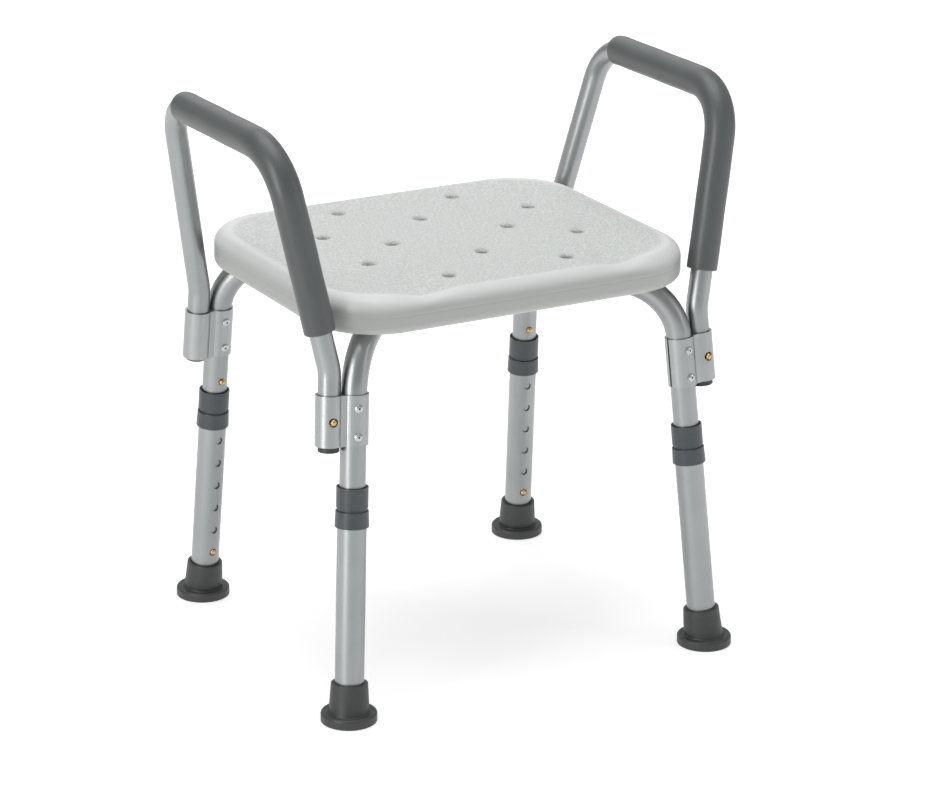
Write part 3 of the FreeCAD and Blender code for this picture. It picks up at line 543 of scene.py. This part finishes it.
@dataclass
class Seat:
    """Blow-moulded seat: dished top, thigh hollows in the front rim, drain holes and channels."""

    corner: float = 74.0 * MM
    round_top: float = 14.5 * MM
    round_low: float = 8.6 * MM
    dish: float = 1.0 * MM
    dish_x: float = 178.0 * MM
    dish_y: float = 140.0 * MM
    hollow: float = 5.2 * MM
    hollow_x: float = 110.0 * MM
    hollow_width: float = 23.0 * MM
    middle_drop: float = 1.2 * MM
    parting: float = 396.5 * MM
    shoulder: float = 399.0 * MM
    flat_inset: float = 58.0 * MM
    drain_radius: float = 5.8 * MM
    drain_lip: float = 4.4 * MM
    drain_shift: float = 4.5 * MM
    run_height: float = 377.0 * MM
    channel_radius: float = 13.1 * MM
    channel_end: float = 290.0 * MM
    crossing_swell: float = 4.6 * MM
    bend_radius: float = 63.0 * MM
    columns_arc: int = 26
    columns_x: int = 58
    columns_y: int = 42
    low: Vector = field(default_factory=lambda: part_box("seat")[0])
    high: Vector = field(default_factory=lambda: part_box("seat")[1])

    def outline(self) -> tuple[np.ndarray, np.ndarray]:
        """Inner rectangle's edge and outward normals; the rim is edge + corner radius x normal.

        Returns:
            Points and unit normals round the seat, both count by 2.
        """
        inner_x, inner_y = self.high.x - self.corner, self.high.y - self.corner
        quarter = np.linspace(0, np.pi / 2, self.columns_arc)
        points, normals = [], []
        signs = ((1, 1, self.columns_x), (-1, 1, self.columns_y),
                 (-1, -1, self.columns_x), (1, -1, self.columns_y))
        for turn, (sx, sy, count) in enumerate(signs):
            angle = quarter + turn * np.pi / 2
            normals.append(np.stack([np.cos(angle), np.sin(angle)], axis=-1))
            points.append(np.tile([sx * inner_x, sy * inner_y], (len(angle), 1)))
            nx, ny, _ = signs[(turn + 1) % 4]
            share = np.linspace(0, 1, count + 1)[1:-1, None]
            start, stop = np.array([sx * inner_x, sy * inner_y]), np.array([nx * inner_x, ny * inner_y])
            points.append(start + (stop - start) * share)
            normals.append(np.tile(normals[-1][-1], (count - 1, 1)))
        return np.vstack(points), np.vstack(normals)

    def top_height(self, x: np.ndarray, y: np.ndarray) -> np.ndarray:
        """Height of the top: level rim, less a shallow dish and two hollows in the front rim.

        The dish is depth x (1 - (x/a)^2) x (1 - (y/b)^2). Each hollow is a bell curve of x about
        its own middle, and it fades in over the front third of the seat, as the lower middle of
        the front rim does.

        Args:
            x: X of each point.
            y: Y of each point.

        Returns:
            Z of each point.
        """
        dish = np.clip(1 - (x / self.dish_x) ** 2, 0, 1) * np.clip(1 - (y / self.dish_y) ** 2, 0, 1)
        front = smooth(-y, 60 * MM, 148 * MM)
        hollow = self.hollow * np.exp(-(((np.abs(x) - self.hollow_x) / self.hollow_width) ** 2))
        middle = self.middle_drop * (1 - smooth(np.abs(x), 60 * MM, 130 * MM))
        return self.high.z - self.dish * dish - front * (hollow + middle)

    def stations(self) -> list[tuple[float, float, float]]:
        """Rings from the middle of the top, over the rim, to the middle of the underside.

        Returns:
            For each ring its inset, its share of full size and its place. A place of 0 to 1 counts
            down the top rounding and one of 2 to 3 round the lower edge. A negative one is a
            height, for the rings of the shallow groove at the parting line.
        """
        rings = [(self.flat_inset, share, 0.0) for share in np.linspace(0.06, 1.0, 16)]
        rings += [(inset, 1.0, 0.0) for inset in np.linspace(self.flat_inset, self.round_top, 16)[1:]]
        rings += [(self.round_top * (1 - math.sin(t)), 1.0, 1 - math.cos(t))
                  for t in np.linspace(0, math.pi / 2, 15)[1:]]
        rings += [(inset * MM, 1.0, -(self.parting + rise * MM))
                  for rise, inset in ((1.2, 0.0), (0.5, 0.05), (0.25, 0.16), (0.0, 0.2), (-0.25, 0.16),
                                      (-0.5, 0.05), (-1.2, 0.0))]
        rings += [(self.round_low * (1 - math.cos(t)), 1.0, 2 + math.sin(t))
                  for t in np.linspace(0, math.pi / 2, 10)]
        rings += [(inset, 1.0, 3.0) for inset in np.linspace(self.round_low, self.flat_inset, 8)[1:]]
        return rings + [(self.flat_inset, share, 3.0) for share in np.linspace(1.0, 0.06, 12)[1:]]

    def skin(self) -> bpy.types.Object:
        """The closed seat without holes.

        Returns:
            The seat's outer skin.
        """
        edge, normal = self.outline()
        rows = []
        for inset, share, place in self.stations():
            flat = (edge + (self.corner - inset) * normal) * share
            top = self.top_height(flat[:, 0], flat[:, 1])
            rounding = np.minimum(self.round_top, top - self.shoulder)
            side_low = self.low.z + self.round_low
            if place < 0:
                z = np.full(len(flat), -place)
            elif place <= 1:
                z = top - rounding * place
            else:
                z = np.full(len(flat), side_low - self.round_low * (place - 2))
            rows.append(np.column_stack([flat, z]))
        points = np.array(rows)
        middle_top = np.array([[0.0, 0.0, float(self.top_height(np.zeros(1), np.zeros(1))[0])]])
        return grid_object("seat_shell", points, ends=(middle_top, np.array([[0.0, 0.0, self.low.z]])))

    def drain_spots(self) -> list[tuple[float, float]]:
        """Centres of the twelve drain holes.

        Returns:
            X and Y of each hole.
        """
        spots = [(x, y) for x in (-0.066, 0.066) for y in (-0.116, 0.0, 0.116)]
        spots += [(x, y) for x in (-0.1185, 0.1185) for y in (-0.049, 0.049)]
        spots += [(0.0, -0.0635), (0.0, 0.0635)]
        return [(x + self.drain_shift, y) for x, y in spots]

    def drain_plug(self, x: float, y: float) -> bpy.types.Object:
        """Tool that leaves a round hole with a soft lip: radius + lip (1 - cos a), z = lip sin a.

        Args:
            x: X of the hole.
            y: Y of the hole.

        Returns:
            A closed trumpet that stands through the seat.
        """
        top = float(self.top_height(np.array([x]), np.array([y]))[0])
        turn = np.radians(np.linspace(0, 74, 9))
        flare = self.drain_radius + self.drain_lip * (1 - np.cos(turn))
        rise = top - self.drain_lip + self.drain_lip * np.sin(turn)
        radius = np.concatenate([[self.drain_radius] * 3, flare, [flare[-1] + 1.6 * MM]])
        height = np.concatenate([[self.low.z - 4 * MM, self.low.z + 9 * MM, top - 12 * MM], rise,
                                 [rise[-1] + 1.2 * MM]])
        route = np.column_stack([np.full(len(height), x), np.full(len(height), y), height])
        rings = rings_along(route, radius, 48, np.array([0.0, 1.0, 0.0]))
        return grid_object("drain_tool", rings, ends=(route[:1], route[-1:]))

    def channel(self, first: LegLine, last: LegLine) -> bpy.types.Object:
        """Tool that leaves the trough for a frame tube, wider where the tubes cross.

        Args:
            first: Leg at one end of the frame tube.
            last: Leg at the other end.

        Returns:
            A closed bar along the frame tube.
        """
        corners = np.array([
            first.at(self.channel_end), first.at(self.run_height / first.up[2]),
            last.at(self.run_height / last.up[2]), last.at(self.channel_end)])
        route = rounded_route(corners, [self.bend_radius] * 2, 6 * MM)
        middle = np.linalg.norm(route[:, :2], axis=-1)
        width = self.channel_radius + self.crossing_swell * (1 - smooth(middle, 20 * MM, 52 * MM))
        across = unit(np.cross(corners[2] - corners[1], UP))
        rings = rings_along(route, width, 40, across)
        return grid_object("channel_tool", rings, ends=(route[:1], route[-1:]))

    def carve(self, shell: bpy.types.Object, tools: list[bpy.types.Object]) -> None:
        """Take tools out of the shell, one after another, and throw them away.

        Args:
            shell: Closed mesh to cut.
            tools: Closed meshes to take away.
        """
        for tool in tools:
            outward(tool)
            step = shell.modifiers.new("carve", "BOOLEAN")
            step.operation = "DIFFERENCE"
            step.solver = "EXACT"
            step.object = tool
        view = bpy.context.evaluated_depsgraph_get()
        carved = bpy.data.meshes.new_from_object(shell.evaluated_get(view))
        shell.modifiers.clear()
        shell.data = carved
        for tool in tools:
            bpy.data.objects.remove(tool)

    def build(self) -> bpy.types.Object:
        """Make the seat and stand it for its node.

        Returns:
            The finished seat.
        """
        shell = self.skin()
        outward(shell)
        legs = {(side, end): LegLine(side, end) for side in Side for end in End}
        tools = [self.drain_plug(x, y) for x, y in self.drain_spots()]
        tools.append(self.channel(legs[Side.LEFT, End.BACK], legs[Side.RIGHT, End.FRONT]))
        tools.append(self.channel(legs[Side.LEFT, End.FRONT], legs[Side.RIGHT, End.BACK]))
        self.carve(shell, tools)
        shell.data.set_sharp_from_angle(angle=math.radians(38))
        finish = BlowMouldedPolyethylene("white_polyethylene", self.high.x, self.high.y)
        shell.data.materials.clear()
        shell.data.materials.append(finish.material())
        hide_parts("seat")
        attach(shell, FIXED_BODY)
        LOG.info("seat: %d faces", len(shell.data.polygons))
        return shell


@dataclass
class FoamGrip:
    """Foam sleeve over the top of an arm loop and down its front upright."""

    side: Side
    outer: float = 15.5 * MM
    bore: float = 11.25 * MM
    end_round: float = 1.2 * MM
    start_y: float = 82.0 * MM
    finish_z: float = 385.7 * MM
    arm_x: float = 247.5 * MM
    top_back: tuple[float, float] = (111.0 * MM, 556.8 * MM)
    top_front: tuple[float, float] = (-120.5 * MM, 560.0 * MM)
    arm_bends: tuple[float, float, float, float] = (45.0 * MM, 46.0 * MM, 52.0 * MM, 45.0 * MM)
    kink_height: float = 348.0 * MM
    end_back: float = 277.5 * MM
    end_front: float = 274.7 * MM
    swell: float = 0.1 * MM
    columns: int = 56

    def route(self) -> np.ndarray:
        """Middle line of the sleeve, cut out of the arm tube's own middle line.

        Returns:
            Points from the back bend to the front end.
        """
        back, front = LegLine(self.side, End.BACK), LegLine(self.side, End.FRONT)
        x = self.side.value * self.arm_x
        corners = np.array([
            back.at(self.end_back, back.socket_reach), back.at(self.kink_height, back.socket_reach),
            [x, *self.top_back], [x, *self.top_front],
            front.at(self.kink_height, front.socket_reach), front.at(self.end_front, front.socket_reach)])
        line = rounded_route(corners, list(self.arm_bends), 1 * MM)
        on_top = (line[:, 1] < self.start_y) & (line[:, 2] > 0.5)
        line = line[(line[:, 2] > self.finish_z) & (on_top | (line[:, 1] < 0))]
        length = np.concatenate([[0.0], np.cumsum(np.linalg.norm(np.diff(line, axis=0), axis=-1))])
        edge = np.array([0.0, 0.1, 0.3, 0.6, 1.2]) * MM
        middle = np.linspace(3 * MM, length[-1] - 3 * MM, 150)
        places = np.concatenate([edge, middle, length[-1] - edge[::-1]])
        return np.column_stack([np.interp(places, length, line[:, axis]) for axis in range(3)])

    def build(self, finish: bpy.types.Material) -> bpy.types.Object:
        """Make the sleeve: the outside runs along the route, then the bore runs back.

        The outside radius falls by a quarter round at each end, radius - r (1 - sin a), and
        swells by up to 0.1 mm in long waves, as foam that has been pushed on does.

        Args:
            finish: Material of the foam.

        Returns:
            The finished sleeve.
        """
        route = self.route()
        length = np.concatenate([[0.0], np.cumsum(np.linalg.norm(np.diff(route, axis=0), axis=-1))])
        inside = np.minimum(length, length[-1] - length)
        share = 1 - np.clip(inside / self.end_round, 0, 1)
        fall = self.end_round * (1 - np.sqrt(np.clip(1 - share ** 2, 0, 1)))
        angle = np.linspace(0, 2 * np.pi, self.columns, endpoint=False)
        swell = self.swell * np.sin(length[:, None] * 95 + 2 * np.sin(angle)[None, :])
        radius = (self.outer - fall)[:, None] + swell - self.swell
        side = np.array([1.0, 0.0, 0.0])
        skin = rings_along(route, radius, self.columns, side)
        bore = rings_along(route, np.full(len(route), self.bore), self.columns, side)
        sleeve = grid_object(f"{self.side.name.lower()}_foam_grip", np.vstack([skin, bore[::-1]]),
                             closed_rows=True)
        outward(sleeve)
        sleeve.data.materials.append(finish)
        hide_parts(f"{self.side.name.lower()}_arm_grip")
        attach(sleeve, FIXED_BODY)
        LOG.info("%s: %d faces", sleeve.name, len(sleeve.data.polygons))
        return sleeve


@dataclass
class RubberFoot:
    """Moulded foot: level flange with a shallow ring in it, and a sleeve that leans."""

    leg: LegLine
    bore_rows: int = 5
    columns: int = 72

    def profile(self) -> np.ndarray:
        """Outline from the middle of the sole, up the outside and down into the bore.

        Returns:
            Rows of radius and height up the leg, in metres.
        """
        edge = np.radians(np.linspace(0, 90, 8))
        rim = np.column_stack([25.0 + 2.6 * np.cos(edge), 7.1 + 2.6 * np.sin(edge)])
        heel = np.radians(np.linspace(0, 90, 5))
        sole = np.column_stack([26.8 + 0.8 * np.sin(heel), 0.8 - 0.8 * np.cos(heel)])
        sweep = np.radians(np.linspace(0, 90, 7))
        neck = np.column_stack([21.4 - 1.7 * np.sin(sweep), 8.8 + 2.4 * (1 - np.cos(sweep))])
        lip = np.radians(np.linspace(0, 90, 6))
        top = np.column_stack([17.1 + 1.0 * np.cos(lip), 37.0 + 1.0 * np.sin(lip)])
        rows = np.vstack([
            [[6.0, 0.0], [14.0, 0.0], [22.0, 0.0]], sole, [[27.6, 2.5], [27.6, 5.0]], rim,
            [[24.0, 9.6], [22.8, 9.0]], neck,
            [[19.6, 14.0], [19.1, 22.0], [18.6, 30.0], [18.15, 36.0]], top,
            [[15.6, 38.0], [14.9, 37.7], [14.35, 37.0], [14.35, 26.0],
             [14.35, 14.0], [14.3, 8.2], [7.0, 8.2]]])
        return rows * MM

    def build(self, finish: bpy.types.Material) -> bpy.types.Object:
        """Make the foot: rings turn from level at the flange to square to the leg in the sleeve.

        Each ring's centre is base + up x height, and its normal eases from straight up to the
        leg's own direction between 7 mm and 16 mm, outside; the bore follows the leg.

        Args:
            finish: Material of the rubber.

        Returns:
            The finished foot.
        """
        rows = self.profile()
        level = smooth(rows[:, 1], 7.0 * MM, 16.0 * MM)
        inner = np.arange(len(rows)) > len(rows) - self.bore_rows
        level = np.where(inner, 1.0, level)[:, None]
        normal = unit(UP * (1 - level) + self.leg.up * level)
        lean = self.leg.up / self.leg.up[2]
        flat_centre = self.leg.base + UP * rows[:, 1:]
        centre = flat_centre * (1 - level) + (self.leg.base + lean * rows[:, 1:]) * level
        across = unit(np.cross(normal, np.array([0.0, 1.0, 0.0])))
        beside = np.cross(normal, across)
        angle = np.linspace(0, 2 * np.pi, self.columns, endpoint=False)
        spokes = (np.cos(angle)[None, :, None] * across[:, None, :]
                  + np.sin(angle)[None, :, None] * beside[:, None, :])
        points = centre[:, None, :] + rows[:, 0][:, None, None] * spokes
        item = grid_object(f"{self.leg.name}_rubber_foot", points, ends=(centre[:1], centre[-1:]))
        outward(item)
        item.data.materials.append(finish)
        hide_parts(f"{self.leg.name}_foot")
        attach(item, f"{self.leg.name}_lower_leg")
        LOG.info("%s: %d faces", item.name, len(item.data.polygons))
        return item


@dataclass
class Hardware:
    """Tubes, brackets, collars, buttons and fasteners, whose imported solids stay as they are."""

    nodes: dict[str, bpy.types.Object]

    def finishes(self) -> dict[str, bpy.types.Material]:
        """One material for each family of pieces.

        Returns:
            End or middle of a node's name, to its material.
        """
        tube = AnodisedTube("anodised_tube").material()
        bracket = AnodisedTube("anodised_extrusion", "#A6A9A9", "#9B9E9E", 0.35, 1.1).material()
        rivet = PlainMetal("aluminium_rivet", "#D0D3D5", "#A5A8AB", 0.22).material()
        brass = PlainMetal("brass_button", "#DDBD80", "#B8935A", 0.27).material()
        zinc = PlainMetal("zinc_plated_steel", "#B9BBB8", "#94979A", 0.35).material()
        spring = PlainMetal("spring_steel", "#7D7F82", "#5B5D60", 0.32).material()
        collar = Moulded("grey_collar_plastic", "#4B5256", "#454B4F", 0.4, 0.9, 0.04).material()
        plug = Moulded("black_plug_plastic", "#35383A", "#2C2E30", 0.45, 0.8, 0.05).material()
        return {"_tube": tube, "_bracket": bracket, "_rivets": rivet, "_button": brass, "screws": zinc,
                "_bolt": zinc, "_nut": zinc, "_washer": zinc, "_springs": spring, "_collar": collar,
                "_plugs": plug}

    def dress(self) -> None:
        """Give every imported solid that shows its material."""
        finishes = self.finishes()
        for name, item in sorted(self.nodes.items()):
            ending = next((key for key in finishes if name.endswith(key)), None)
            if ending is None:
                LOG.info("%s is stood for by a moulded piece", name)
                continue
            item.data.materials.clear()
            item.data.materials.append(finishes[ending])
            LOG.info("%s: %s", name, finishes[ending].name)


@dataclass
class Studio:
    """Pale floor, soft light and camera."""

    camera_place: tuple[float, float, float] = (-1.73456, -3.12184, 1.49605)
    heading: float = -29.456
    tilt: float = 19.294
    roll: float = 0.534
    lens: float = 143.1
    floor_rings: tuple[float, ...] = (0.4, 1.5, 4.0, 9.0, 16.0)
    floor_columns: int = 64

    def floor(self) -> None:
        """Lay a wide pale floor, as a disc worked out on a grid."""
        radius, count = np.array(self.floor_rings), self.floor_columns
        angle = np.linspace(0, 2 * np.pi, count, endpoint=False)
        points = np.stack([radius[:, None] * np.cos(angle), radius[:, None] * np.sin(angle),
                           np.zeros((len(radius), count))], axis=-1)
        vertices = points.reshape(-1, 3)
        centre = len(vertices)
        row, column = np.arange(len(radius) - 1)[:, None], np.arange(count)[None, :]
        beside = (column + 1) % count
        quads = np.stack([row * count + column, (row + 1) * count + column,
                          (row + 1) * count + beside, row * count + beside], axis=-1).reshape(-1, 4)
        fan = np.stack([np.full(count, centre), column[0], beside[0]], axis=-1)
        mesh = bpy.data.meshes.new("studio_floor")
        mesh.from_pydata(np.vstack([vertices, [[0, 0, 0]]]).tolist(), [], quads.tolist() + fan.tolist())
        mesh.update()
        ground = bpy.data.objects.new("studio_floor", mesh)
        bpy.context.scene.collection.objects.link(ground)
        paint, tree, place = start_material("pale_floor")
        away = add_node(tree, "ShaderNodeVectorMath", {0: place}, operation="LENGTH")
        glow = add_node(tree, "ShaderNodeMapRange", {
            "Value": away.outputs["Value"], "From Min": 0.5, "From Max": 2.6,
            "To Min": 0.52, "To Max": 0.85})
        finish_shader(tree, {"Emission Strength": glow.outputs["Result"]}, {
            "Base Color": linear("#F4F4F4"), "Roughness": 0.9, "Emission Color": (1.0, 1.0, 1.0, 1.0)})
        mesh.materials.append(paint)

    def lamp(self, name: str, place: tuple[float, float, float], size: tuple[float, float],
             power: float, streak: bool = False) -> None:
        """Hang one softbox that looks at the seat.

        Args:
            name: Name of the light.
            place: Where it hangs, in metres.
            size: Its width and height, in metres.
            power: Its power, in watts.
            streak: Whether it shows only in gloss, as a strip box set for highlights.
        """
        light = bpy.data.lights.new(name, "AREA")
        light.shape = "RECTANGLE"
        light.size, light.size_y = size
        light.energy = power
        holder = bpy.data.objects.new(name, light)
        holder.location = place
        holder.visible_diffuse = not streak
        aim = Vector((0.0, 0.0, 0.35)) - Vector(place)
        holder.rotation_euler = aim.to_track_quat("-Z", "Y").to_euler()
        bpy.context.scene.collection.objects.link(holder)

    def camera(self) -> None:
        """Stand the camera: turned about Z, tilted about X, then rolled about its own axis."""
        lens = bpy.data.cameras.new("camera")
        lens.lens = self.lens
        lens.sensor_width = 36.0
        lens.clip_end = 60.0
        holder = bpy.data.objects.new("camera", lens)
        turn = (Matrix.Rotation(math.radians(self.heading), 4, "Z")
                @ Matrix.Rotation(math.radians(90 - self.tilt), 4, "X")
                @ Matrix.Rotation(math.radians(self.roll), 4, "Z"))
        holder.matrix_world = Matrix.Translation(self.camera_place) @ turn
        bpy.context.scene.collection.objects.link(holder)
        bpy.context.scene.camera = holder

    def surround(self) -> None:
        """Light the world softly: dim to matt surfaces, brighter in gloss, and white as a backdrop."""
        world = bpy.data.worlds.new("studio")
        world.use_nodes = True
        background = world.node_tree.nodes["Background"]
        background.inputs["Color"].default_value = linear("#FFFFFF")
        ray = add_node(world.node_tree, "ShaderNodeLightPath").outputs
        gloss = add_node(world.node_tree, "ShaderNodeMapRange", {
            "Value": ray["Is Glossy Ray"], "To Min": 0.23, "To Max": 0.5})
        backdrop = add_node(world.node_tree, "ShaderNodeMath", {
            0: gloss.outputs["Result"], 1: ray["Is Camera Ray"]}, operation="ADD")
        world.node_tree.links.new(backdrop.outputs["Value"], background.inputs["Strength"])
        bpy.context.scene.world = world

    def build(self) -> None:
        """Set up the whole studio."""
        bpy.context.scene.view_settings.view_transform = "Standard"
        self.surround()
        self.floor()
        self.lamp("overhead", (-0.1, 0.2, 2.7), (2.2, 2.2), 48.0)
        self.lamp("left", (-2.1, -0.8, 0.95), (0.4, 1.4), 2.5)
        self.lamp("streak", (-2.1, -0.8, 0.95), (0.45, 1.8), 30.0, streak=True)
        self.lamp("right", (1.9, -1.9, 1.1), (0.35, 1.4), 4.5)
        self.lamp("rim", (0.8, 2.4, 1.7), (2.2, 0.9), 8.0)
        self.camera()


def main() -> None:
    """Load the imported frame, dress it, and add the moulded pieces and the studio."""
    logging.basicConfig(level=logging.INFO, format="%(name)s: %(message)s")
    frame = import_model()
    Hardware(frame["nodes"]).dress()
    Seat().build()
    foam = Moulded("closed_cell_foam", "#5A5E5E", "#545858", 0.42, 0.7, 0.04, 40.0).material()
    for side in Side:
        FoamGrip(side).build(foam)
    rubber = Moulded("grey_rubber", "#414444", "#3A3D3D", 0.5, 1.4, 0.06).material()
    for side in Side:
        for end in End:
            RubberFoot(LegLine(side, end)).build(rubber)
    Studio().build()


if __name__ == "__main__":
    main()
